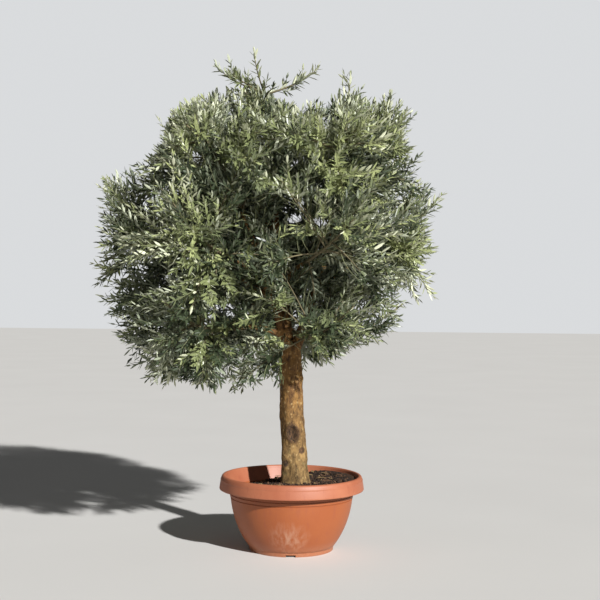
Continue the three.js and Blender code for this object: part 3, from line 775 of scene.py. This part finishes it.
def dealTips():
    tips = [np.array([right, spread(-growth["farTipSpread"], growth["farTipSpread"], i, 90), height])
            for i, (right, height) in enumerate(farTips)]
    for i in range(growth["strayTips"]):
        rise = 0.8 - 1.6 * (i + 0.5) / growth["strayTips"]
        tip = crownAxis(crown["middle"][2] + rise * (crown["rise"] if rise > 0 else crown["fall"]))
        out = float(crownHalf(tip[2])) * growth["strayReach"]
        tip[0] += out * math.cos(i * goldenAngle) * 0.94
        tip[1] += out * math.sin(i * goldenAngle) * crown["depthRatio"]
        tips.append(tip)
    deep = growth["fineTipSpread"]
    fine = [np.array([right, spread(-deep, deep, i, 91), height])
            for i, (right, height) in enumerate(fineTips)]
    for mass in masses:
        mass["tips"] = [tip for tip in tips + fine if depthInSpace(mass, tip)[0] > 0]


def stemOf(mass, bough):
    heading = bezierTangents(bough["corners"], 1)[0]
    foot = bezierPoints(bough["corners"], 1)[0] - heading * 0.004
    outward = unit(mass["middle"] - crownAxis(mass["middle"][2] - growth["stemLift"]))
    head = mass["middle"] + outward * (freeRun(mass, mass["middle"], outward) - growth["tipRoom"])
    return [foot, foot + heading * limb["entryRun"], head]


def arched(start, end, rise):
    return [start, (start + end) / 2 + upward * rise, end]


# The shoots of a mass: one to each far tip in its space, the end of its stem, and others round the
# stem by the golden angle.
def shootsOf(mass, stem):
    shoots = []
    for tip in mass["tips"]:
        start = bezierPoints(stem, 0.6)[0]
        way = unit(tip - start)
        corners = arched(start, tip - way * 0.055, 0.006)
        if mass["tier"] in ("high", "top"):  # these bend up towards their tips
            corners[1] = corners[1] + (tip - start) * (0.3, 0.3, 0)
        shoots.append({"corners": corners, "bare": 0.35, "far": True})
    shoots.append({"corners": stem, "bare": 0.5, "far": False})
    for i in range(1, growth["shootsPerMass"] + 1):
        part = i / growth["shootsPerMass"]
        share = 0.2 + 0.6 * part
        turn = mass["key"] + i * goldenAngle + spread(-0.3, 0.3, mass["key"], i, 1)
        start = bezierPoints(stem, share)[0]
        lean = 1.6 - 0.85 * part + spread(-0.1, 0.1, mass["key"], i, 2)
        way = leaning(bezierTangents(stem, share), turn, lean)[0]
        run = freeRun(mass, start, way) - growth["tipRoom"]
        if run > growth["shootLeast"]:
            rise = run * spread(0.02, 0.1, mass["key"], i, 3)
            shoots.append({"corners": arched(start, start + way * run, rise), "bare": 0.55, "far": False})
    return shoots


# Tubes of a few sides round curves, gathered as arrays.
class Gathered:
    def __init__(self):
        self.vertices, self.faces, self.kinds, self.count = [], [], [], 0

    def add(self, vertices, faces, kinds):
        self.vertices.append(vertices)
        self.faces.append(faces + self.count)
        self.kinds.append(kinds)
        self.count += len(vertices)

    def piece(self, name):
        vertices, faces = np.concatenate(self.vertices), np.concatenate(self.faces)
        piece = pieceFromArrays(name, vertices, faces)
        piece.data.polygons.foreach_set("material_index", np.concatenate(self.kinds).astype(np.int32))
        return piece


def addTube(gathered, corners, radii, sides, steps, kind):
    shares = np.linspace(0, 1, steps + 1)
    places, along = bezierPoints(corners, shares), bezierTangents(corners, shares)
    level = upward if abs(along[0][2]) < 0.8 else np.array([1.0, 0, 0])
    first = unit(np.cross(level, along))
    second = np.cross(along, first)
    turns = np.arange(sides) * 2 * math.pi / sides
    width = np.linspace(radii[0], radii[1], steps + 1)[:, None, None]
    ring = first[:, None] * np.cos(turns)[None, :, None] + second[:, None] * np.sin(turns)[None, :, None]
    vertices = (places[:, None] + ring * width).reshape(-1, 3)
    vertices = np.concatenate([vertices, places[:1], places[-1:] + along[-1:] * radii[1]])
    faces = []
    for i in range(steps):
        for j in range(sides):
            a, b = i * sides + j, i * sides + (j + 1) % sides
            faces += [(a, b, b + sides), (a, b + sides, a + sides)]
    last = steps * sides
    for j in range(sides):
        faces.append((last + sides, (j + 1) % sides, j))
        faces.append((last + sides + 1, last + j, last + (j + 1) % sides))
    gathered.add(vertices, np.array(faces), np.full(len(faces), kind))


# Right and height of points as seen from the front, on the plane through the pot's axis.
def seenAt(points):
    place = view["place"]
    scale = -place[1] / (points[:, 1] - place[1])
    return place[0] + (points[:, 0] - place[0]) * scale, place[2] + (points[:, 2] - place[2]) * scale


def insideOutline(points):
    right, height = seenAt(np.atleast_2d(points))
    inside = np.zeros(len(right), bool)
    for (x, z), (nextX, nextZ) in zip(fullOutline, np.roll(fullOutline, -1, axis=0)):
        if z != nextZ:
            crossing = x + (height - z) * (nextX - x) / (nextZ - z)
            inside ^= ((z > height) != (nextZ > height)) & (right < crossing)
    return inside


# A shoot cut off where it leaves the full outline.
def trimmed(corners):
    shares = np.linspace(0, 1, 30)
    inside = insideOutline(bezierPoints(corners, shares))
    if inside.all():
        return corners
    last = max(0.12, shares[int(np.argmin(inside))])
    return list(bezierPoints(corners, [0, last / 2, last]))


def seenThrough(points):
    right, height = seenAt(points)
    hidden = np.zeros(len(points), bool)
    for across, over, width, tall, behind in openings:
        inside = ((right - across) / width) ** 2 + ((height - over) / tall) ** 2 < 1
        hidden |= inside & (points[:, 1] < behind)
    return hidden


# Leaves of one twig: opposite pairs, each pair a quarter turn on, and one straight on at the tip.
def leavesOf(corners, bare, draw, tint, far, store):
    length = curveLength(corners)
    pairs = int(length * (1 - bare) / growth["leafPitch"])
    shares = 1 - (0.003 + np.arange(pairs + 1) * growth["leafPitch"]) / length
    shares = np.repeat(shares[shares > 0.02], 2)
    if not len(shares):
        return
    count = len(shares)
    order = np.arange(count) // 2
    turn = order * math.pi / 2 + (np.arange(count) % 2) * math.pi + draw.uniform(-0.35, 0.35, count)
    lean = growth["leafLean"] * draw.uniform(0.7, 1.35, count) + 0.02 * order
    roots, along = bezierPoints(corners, shares), bezierTangents(corners, shares)
    ways = leaning(along, turn, lean)
    roots = np.concatenate([roots, bezierPoints(corners, 1)])
    ways = np.concatenate([ways, bezierTangents(corners, 1)])
    along = np.concatenate([along, unit(upward + draw.normal(0, 0.4, 3))[None]])
    # a leaf turns its upper side to the tip of its twig and to the light
    faces = along + upward * 0.55 + draw.normal(0, 0.28, (count + 1, 3))
    faces = unit(faces - ways * (faces * ways).sum(1, keepdims=True))
    low, high = growth["leafLength"]
    young = np.minimum(1, 0.62 + 0.09 * np.append(order, 1))
    sizes = draw.uniform(low, high, count + 1) * young
    store["roots"].append(roots)
    store["ways"].append(ways)
    store["faces"].append(faces)
    store["sizes"].append(sizes)
    store["tints"].append(np.full(count + 1, tint))
    store["far"].append(np.full(count + 1, far))


# Shoots that leave a bough on its way to its mass and fill the crown's heart.
def heartShoots(mass, bough, draw):
    corners = bough["corners"]
    length = curveLength(corners)
    shoots = []
    for i in range(int(length * 0.85 / growth["heartPitch"])):
        share = 0.15 + i * growth["heartPitch"] / length
        start = bezierPoints(corners, share)[0]
        along, turn = bezierTangents(corners, share), mass["key"] + i * goldenAngle
        way = leaning(along, turn, draw.uniform(0.7, 1.25))[0]
        run = draw.uniform(*growth["heartLength"])
        start = start + way * (limbRadius(bough, share) - 0.003)
        end = start + way * run
        if mass["tier"] == "low":  # these hang
            end = end - upward * run * 0.7
        points = start + np.linspace(0.25, 1, 4)[:, None] * (end - start)
        if crownShare(points).max() < 0.97 and nearestLimb(points)[0].min() > 0.008:
            bow = arched(start, end, run * 0.08)
            shoots.append({"corners": bow, "bare": 0.3, "far": False, "heart": True})
    return shoots


# Finer shoots low on the stem, that lean back and outwards to meet the neighbouring masses.
def fineShoots(mass, stem, draw):
    shoots = []
    for i in range(growth["fineShoots"]):
        share = 0.10 + 0.10 * i
        start = bezierPoints(stem, share)[0]
        along, turn = bezierTangents(stem, share), mass["key"] + 1.2 + i * goldenAngle
        way = leaning(along, turn, draw.uniform(1.1, 1.9))[0]
        points = start + way * np.linspace(0.03, growth["fineLength"], 10)[:, None]
        good = (crownShare(points) < 0.95) & (depthInSpace(mass, points) > -growth["fineOver"])
        good &= nearestLimb(points)[0] > 0.008
        reach = len(points) if good.all() else int(np.argmin(good))
        if reach > 3:
            end = points[reach - 1]
            bow = arched(start, end, 0.02)
            shoots.append({"corners": bow, "bare": 0.2, "far": False, "heart": share < 0.35})
    return shoots


def growMass(mass, bough, twigs, store):
    draw = np.random.default_rng(seed * 100 + mass["key"])
    stem = stemOf(mass, bough)
    addTube(twigs, trimmed(stem), growth["stemRadii"], 7, 8, 0)
    lift = growth["lift"][mass["tier"]]
    litAndShadedWeights = growth["litAndShadedTintShares"][mass["tier"]]
    for shoot in shootsOf(mass, stem) + fineShoots(mass, stem, draw) + heartShoots(mass, bough, draw):
        far = shoot["far"]
        corners = shoot["corners"] if far else trimmed(shoot["corners"])
        if not far and seenThrough(bezierPoints(corners, [0.4, 0.7, 1])).all():
            continue
        if shoot["corners"] is not stem:
            addTube(twigs, corners, growth["shootRadii"], 5, 6, 0)
        # by these shares the dark and pale tints paint the crown's shade and light into the leaves
        tint = int(draw.choice(4, p=growth["heartPaintedShadeTintShares"] if shoot.get("heart") else litAndShadedWeights))
        leavesOf(corners, shoot["bare"], draw, tint, far, store)
        length = curveLength(corners)
        count = int(length * growth["twigsUpTo"] / growth["twigPitch"])
        for i in range(count * 2):
            share = 0.06 + (i // 2) * growth["twigPitch"] / length
            turn = (i // 2) * math.pi / 2 + (i % 2) * math.pi + draw.uniform(-0.5, 0.5)
            way = leaning(bezierTangents(corners, share), turn, draw.uniform(*growth["twigLean"]))[0]
            start = bezierPoints(corners, share)[0]
            outward = unit(start - crownAxis(min(start[2], 1.25) - 0.15))
            run = draw.uniform(*growth["twigLength"])
            if far and not insideOutline(start)[0]:
                run = draw.uniform(*growth["farTwigLength"]) if draw.random() < growth["farTwigShare"] else 0
            bend = start + way * run * 0.5
            end = bend + unit(way + outward * 0.6 + upward * draw.uniform(*lift)) * run * 0.5
            for _ in range(5):  # shortened until it stays in its space
                ends = np.stack([end, bend])
                good = crownShare(ends).max() < growth["crownOver"] and insideOutline(ends).all()
                if (good or run < 0.075 and far) and depthInSpace(mass, ends).min() > -growth["spaceOver"]:
                    break
                less = growth["shortening"]
                bend, end = start + (bend - start) * less, start + (end - start) * less
                run *= less
            if run < growth["shortestTwig"]:
                continue
            twig = [start, bend, end]
            ends = np.stack([bend, end])
            if nearestLimb(ends)[0].min() < growth["limbClear"] or seenThrough(ends).all():
                continue
            addTube(twigs, twig, growth["twigRadii"], 3, 3, 1)
            if draw.random() < growth["recolour"]:
                tint = int(draw.choice(4, p=growth["heartPaintedShadeTintShares"] if shoot.get("heart") else litAndShadedWeights))
            leavesOf(twig, 0.12, draw, tint, far, store)


# A closed leaf of ten faces: widest past the middle, folded a little along its rib, curved down.
def leafArrays(store, keep):
    roots, ways, faces, sizes = (
        np.concatenate(store[key])[keep] for key in ("roots", "ways", "faces", "sizes"))
    count = len(roots)
    draw = np.random.default_rng(seed)
    sides = np.cross(faces, ways)
    slim = growth["leafSlimness"] * draw.uniform(0.85, 1.15, count) / 2
    curl = draw.uniform(-0.14, 0.03, count)
    rows = [  # along, across, over, share of curl
        (0.0, 0, 0.0, 0), (1.0, 0, 0.0, 1), (0.30, -0.92, 0.016, 0.10), (0.68, -0.90, 0.014, 0.46),
        (0.30, 0.92, 0.016, 0.10), (0.68, 0.90, 0.014, 0.46), (0.50, 0, -0.024, 0.36),
    ]
    vertices = np.zeros((count, len(rows), 3))
    for i, (along, across, over, bent) in enumerate(rows):
        rise = (over + curl * bent) * sizes
        vertices[:, i] = roots + ways * (along * sizes)[:, None] + sides * (across * slim * sizes)[:, None]
        vertices[:, i] += faces * rise[:, None]
    upper = [(0, 2, 3), (0, 3, 1), (0, 5, 4), (0, 1, 5)]
    lower = [(6, 2, 0), (6, 3, 2), (6, 1, 3), (6, 5, 1), (6, 4, 5), (6, 0, 4)]
    one = np.array(upper + lower)[:, ::-1]
    triangles = (one[None] + (np.arange(count) * len(rows))[:, None, None]).reshape(-1, 3)
    tints = np.concatenate(store["tints"])[keep]
    kinds = np.repeat(tints * 2, 10) + np.tile(np.repeat([0, 1], (4, 6)), count)
    return vertices.reshape(-1, 3), triangles, kinds


# Olive leaves: a leathery waxed upper side and a felted silvery underside, in four tints; the third is a
# dark copy that paints shade and the fourth a pale copy that paints light.
leafColours = [
    ("#656d4c", "#babfa6"), ("#7a8257", "#cccfb1"), ("#3d4732", "#858c76"), ("#989f6d", "#dadcbe"),
]
foliageMaterials = []
for number, (upperColour, lowerColour) in enumerate(leafColours):
    foliageMaterials.append(newMaterial(f"olive_leaf_waxed_{number + 1}", 0.36, 1.50, upperColour)[0])
    foliageMaterials.append(newMaterial(f"olive_leaf_felted_{number + 1}", 0.62, 1.40, lowerColour)[0])
twigMaterials = [newMaterial("olive_shoot_grey_bark", 0.85, 1.45, "#6f664c")[0],
                 newMaterial("olive_twig_young_bark", 0.70, 1.45, "#848762")[0]]

dealTips()
pieceGroups = {  # the masses that go into each piece of leaves and twigs; each stays under 200,000 triangles
    "low_front": ["low_1", "low_4", "low_5"],
    "low_back": ["low_2", "low_3"],
    "mid_front": ["mid_1", "mid_5", "mid_6"],
    "mid_back": ["mid_2", "mid_3", "mid_4"],
    "high_front": ["high_1", "high_4", "high_5"],
    "high_back": ["high_2", "high_3", "top"],
}
for group, names in pieceGroups.items():
    twigs = Gathered()
    store = {key: [] for key in ("roots", "ways", "faces", "sizes", "tints", "far")}
    members = [mass for mass in masses if mass["name"] in names]
    for mass in members:
        growMass(mass, next(one for one in boughs if one["mass"] is mass), twigs, store)
    roots, ways, sizes = (np.concatenate(store[key]) for key in ("roots", "ways", "sizes"))
    tips = roots + ways * sizes[:, None]
    middlesOfLeaves = (roots + tips) / 2
    far = np.concatenate(store["far"])
    keep = far | (crownShare(tips) < 1.08) & insideOutline(roots)
    keep &= ~seenThrough(middlesOfLeaves) & ~seenThrough(tips)
    keep &= nearestLimb(middlesOfLeaves)[0] > 0.004
    low, high = np.array(cadBox[0]) - 0.008, np.array(cadBox[1]) + 0.008
    keep &= ((tips > low) & (tips < high)).all(1)
    vertices, triangles, kinds = leafArrays(store, keep)
    leaves = pieceFromArrays("leaves_" + group, vertices, triangles)
    for material in foliageMaterials:
        leaves.data.materials.append(material)
    leaves.data.polygons.foreach_set("material_index", kinds.astype(np.int32))
    smoothByAngle(leaves, 40)
    twigPiece = twigs.piece("twigs_" + group)
    for material in twigMaterials:
        twigPiece.data.materials.append(material)
    makeActive(twigPiece)
    bpy.ops.object.shade_smooth()
    finishPiece(leaves, "leaves", *["foliage_" + mass["name"] for mass in members])
    finishPiece(twigPiece, "bark", *["foliage_" + mass["name"] for mass in members])
    print("foliage", group, "leaves", int(keep.sum()), "faces", len(triangles), len(twigPiece.data.polygons))

# Soil: bark compost with chips, straw and dead leaves
soil = {
    "level": 0.250,
    "fall": 0.034,
    "fallAngle": 2.6,
    "mound": 0.015,
    "moundAngle": 0.6,
    "rings": 34,
    "steps": 150,
    "clods": 1500,
    "chips": 420,
    "straws": 18,
    "deadLeaves": 48,
    "trunkClear": 0.060,  # litter keeps this far from the trunk's middle, and dead leaves a little further
    "leafClear": 0.066,
}


potInside = [(point[0] - 0.0003, point[1]) for point in bowlWall(pot["wall"], False)] + [(0.2287, 0.2288)]


def soilRadius(height):  # the inside of the pot's wall, less the dried edge's gap
    wall = potInside + [(0.2503, 0.268)]
    return float(np.interp(height, [point[1] for point in wall], [point[0] for point in wall])) - 0.0015


def soilHeight(angle, share):
    fall = soil["fall"] * share * max(0, math.cos(angle - soil["fallAngle"]))
    mound = soil["mound"] * share ** 2 * max(0, math.cos(angle - soil["moundAngle"]))
    return soil["level"] - fall + mound


def buildSoil():
    top = soilRadius(soil["level"])
    profile = [(0, 0.0138), (0.1545, 0.0138)] + potInside
    profile += [(top * i / soil["rings"], soil["level"]) for i in range(soil["rings"], -1, -1)]
    bed = spunPiece("soil_compost", profile, soil["steps"])
    for vertex in bed.data.vertices:
        angle = math.atan2(vertex.co.y, vertex.co.x)
        share = math.hypot(vertex.co.x, vertex.co.y) / top
        level = vertex.co.z
        edge = soilHeight(angle, 1) - 0.003
        if level > soil["level"] - 0.001:
            height = soilHeight(angle, share)
            rough = Vector((vertex.co.x * 60, vertex.co.y * 60, 0))
            clods = 0.0035 * noise.noise(rough) + 0.0022 * noise.noise(rough * 3.1)
            height += clods * min(1, (1.02 - share) * 12)
            out = soilRadius(height) if share > 0.99 else share * top
        elif level > edge - 0.002:  # where the soil is sunk, its side ends lower on the wall
            height = edge - 0.002 - (soil["level"] - level) * 0.01
            out = soilRadius(height)
        else:
            continue
        vertex.co = (out * math.cos(angle), out * math.sin(angle), height)
    makeActive(bed)
    bpy.ops.object.shade_smooth()
    return bed


def soilMaterial():
    material, tree, shader = newMaterial("bark_compost_damp", 0.92, 1.4)
    place = addNode(tree, "TexCoord", {}, {}).outputs["Object"]
    broad = addNode(tree, "TexNoise", {}, {"Vector": place, "Scale": 45.0, "Detail": 6.0, "Roughness": 0.7})
    share = addNode(tree, "MapRange", {}, {"Value": broad, "From Min": 0.35, "From Max": 0.68})
    earth = addNode(tree, "Mix", colourMix, {0: share, 6: srgb("#1f140c"), 7: srgb("#513620")})
    grains = addNode(tree, "TexVoronoi", {}, {"Vector": place, "Scale": 210.0})
    bits = addNode(tree, "MapRange", {},
                   {"Value": grains, "From Min": 0.22, "From Max": 0.12, "To Max": 0.55})
    mixed = addNode(tree, "Mix", colourMix, {0: bits, 6: earth, 7: srgb("#80644a")})
    tree.links.new(mixed.outputs[2], shader.inputs["Base Color"])
    bump = addNode(tree, "Bump", {}, {"Height": broad, "Strength": 0.8, "Distance": 0.004})
    tree.links.new(bump.outputs[0], shader.inputs["Normal"])
    return material


# Clods, chips and straws are boxes with their corners pushed about, laid on the soil's surface.
def buildLitter():
    draw = np.random.default_rng(seed + 5)
    litter = Gathered()
    box = np.array([(x, y, z) for x in (-1, 1) for y in (-1, 1) for z in (-1, 1)], float)
    sides = np.array([(0, 1, 3), (0, 3, 2), (4, 6, 7), (4, 7, 5), (0, 4, 5), (0, 5, 1),
                      (2, 3, 7), (2, 7, 6), (0, 2, 6), (0, 6, 4), (1, 5, 7), (1, 7, 3)])
    kinds = [(soil["clods"], (0.0015, 0.0042), 1.0, 0.8, 0), (soil["chips"], (0.004, 0.010), 0.35, 0.22, 1),
             (soil["straws"], (0.012, 0.034), 0.05, 0.04, 2)]
    for count, (small, large), broad, thin, kind in kinds:
        for _ in range(count):
            angle = draw.uniform(0, 2 * math.pi)
            share = math.sqrt(draw.uniform(0.05, 0.90))
            size = draw.uniform(small, large)
            shape = box * (size, size * broad, size * thin) + draw.normal(0, size * broad * 0.2, (8, 3))
            turn, tilt = draw.uniform(0, 2 * math.pi), draw.normal(0, 0.35 if kind else 1.0)
            across, up = math.cos(turn), math.sin(turn)
            spin = np.array([(across, -up, 0), (up, across, 0), (0, 0, 1)])
            across, up = math.cos(tilt), math.sin(tilt)
            lean = np.array([(across, 0, -up), (0, 1, 0), (up, 0, across)])
            out = share * (soilRadius(soil["level"]) - size - 0.003)
            height = soilHeight(angle, share) + size * thin * 0.4
            place = np.array([out * math.cos(angle), out * math.sin(angle), height])
            if math.hypot(place[0] - bark["foot"][0], place[1]) < soil["trunkClear"] + size:
                continue
            litter.add(shape @ lean.T @ spin.T + place, sides, np.full(12, kind))
    return litter.piece("soil_litter")


def buildDeadLeaves():
    draw = np.random.default_rng(seed + 9)
    count = soil["deadLeaves"]
    angles, shares = draw.uniform(0, 2 * math.pi, count), np.sqrt(draw.uniform(0.12, 0.72, count))
    roots = np.array([(0.226 * s * math.cos(a), 0.226 * s * math.sin(a), soilHeight(a, s) + 0.004)
                      for a, s in zip(angles, shares)])
    turns = draw.uniform(0, 2 * math.pi, count)
    ways = unit(np.stack([np.cos(turns), np.sin(turns), draw.normal(0, 0.10, count)], axis=1))
    faces = upward + draw.normal(0, 0.25, (count, 3))
    faces = unit(faces - ways * (faces * ways).sum(1, keepdims=True))
    sizes = draw.uniform(0.026, 0.046, count)
    tips = roots + ways * sizes[:, None]
    keep = np.hypot(tips[:, 0], tips[:, 1]) < 0.222
    for ends in (roots, tips):
        keep &= np.hypot(ends[:, 0] - bark["foot"][0], ends[:, 1]) > soil["leafClear"]
    tints = np.arange(count) % 2
    store = {"roots": [roots], "ways": [ways], "faces": [faces], "sizes": [sizes], "tints": [tints]}
    vertices, triangles, kinds = leafArrays(store, keep)
    piece = pieceFromArrays("soil_dead_leaves", vertices, triangles)
    piece.data.polygons.foreach_set("material_index", (kinds // 2).astype(np.int32))
    return piece


soilPiece = buildSoil()
soilPiece.data.materials.clear()
soilPiece.data.materials.append(soilMaterial())
litterPiece = buildLitter()
for name, roughness, colour in (("compost_clod", 0.95, "#2b1f17"), ("pine_bark_chip", 0.85, "#5e4430"),
                                ("dry_straw", 0.60, "#a98f66")):
    litterPiece.data.materials.append(newMaterial(name, roughness, 1.45, colour)[0])
deadPiece = buildDeadLeaves()
for name, colour in (("dead_leaf_brown", "#5a412a"), ("dead_leaf_pale", "#8a7450")):
    deadPiece.data.materials.append(newMaterial(name, 0.7, 1.45, colour)[0])
finishPiece(soilPiece, "soil", "soil")
finishPiece(litterPiece, "soil", "soil")
finishPiece(deadPiece, "soil", "soil")
print("soil", len(soilPiece.data.polygons), "litter", len(litterPiece.data.polygons))

# Floor and light
deselectAll()
bpy.ops.mesh.primitive_plane_add(size=60, location=(0, 0, 0))
floor = bpy.context.object
floor.name = "floor"
floorMaterial, floorTree, floorShader = newMaterial("studio_floor", 0.75, 1.45)
floorPlace = addNode(floorTree, "TexCoord", {}, {}).outputs["Object"]
floorCloud = addNode(floorTree, "TexNoise", {}, {"Vector": floorPlace, "Scale": 1.2, "Detail": 3.0})
floorMix = addNode(floorTree, "Mix", colourMix,
                   {0: floorCloud, 6: srgb("#cfcdc9"), 7: srgb("#d6d4d0")})
floorTree.links.new(floorMix.outputs[2], floorShader.inputs["Base Color"])
floor.data.materials.append(floorMaterial)

lights = [  # name, kind, place, size or angle, power, aim
    ("key", "SUN", (2.6, -3.8, 3.5), 0.03, 6.0, (-0.1, 0.0, 0.9)),
    ("fill", "AREA", (-4.0, -3.2, 2.6), 3.0, 6, (-0.1, 0.0, 1.0)),
]
for name, kind, place, size, power, aim in lights:
    deselectAll()
    bpy.ops.object.light_add(type=kind, location=place)
    lamp = bpy.context.object
    lamp.name = name
    lamp.data.energy = power
    if kind == "SUN":
        lamp.data.angle = size
    else:
        lamp.data.size = size
    lamp.rotation_euler = (Vector(aim) - Vector(place)).to_track_quat("-Z", "Y").to_euler()
world = bpy.data.worlds.new("studio")
scene.world = world
world.use_nodes = True
backdrop = world.node_tree.nodes["Background"]
backdrop.inputs["Color"].default_value = srgb("#e4e6e8")
rays = addNode(world.node_tree, "LightPath", {}, {})
strength = addNode(world.node_tree, "MapRange", {},
                   {"Value": rays.outputs["Is Camera Ray"], "To Min": 0.12, "To Max": 0.90})
world.node_tree.links.new(strength.outputs[0], backdrop.inputs["Strength"])
scene.view_settings.view_transform = "Standard"

print("done")
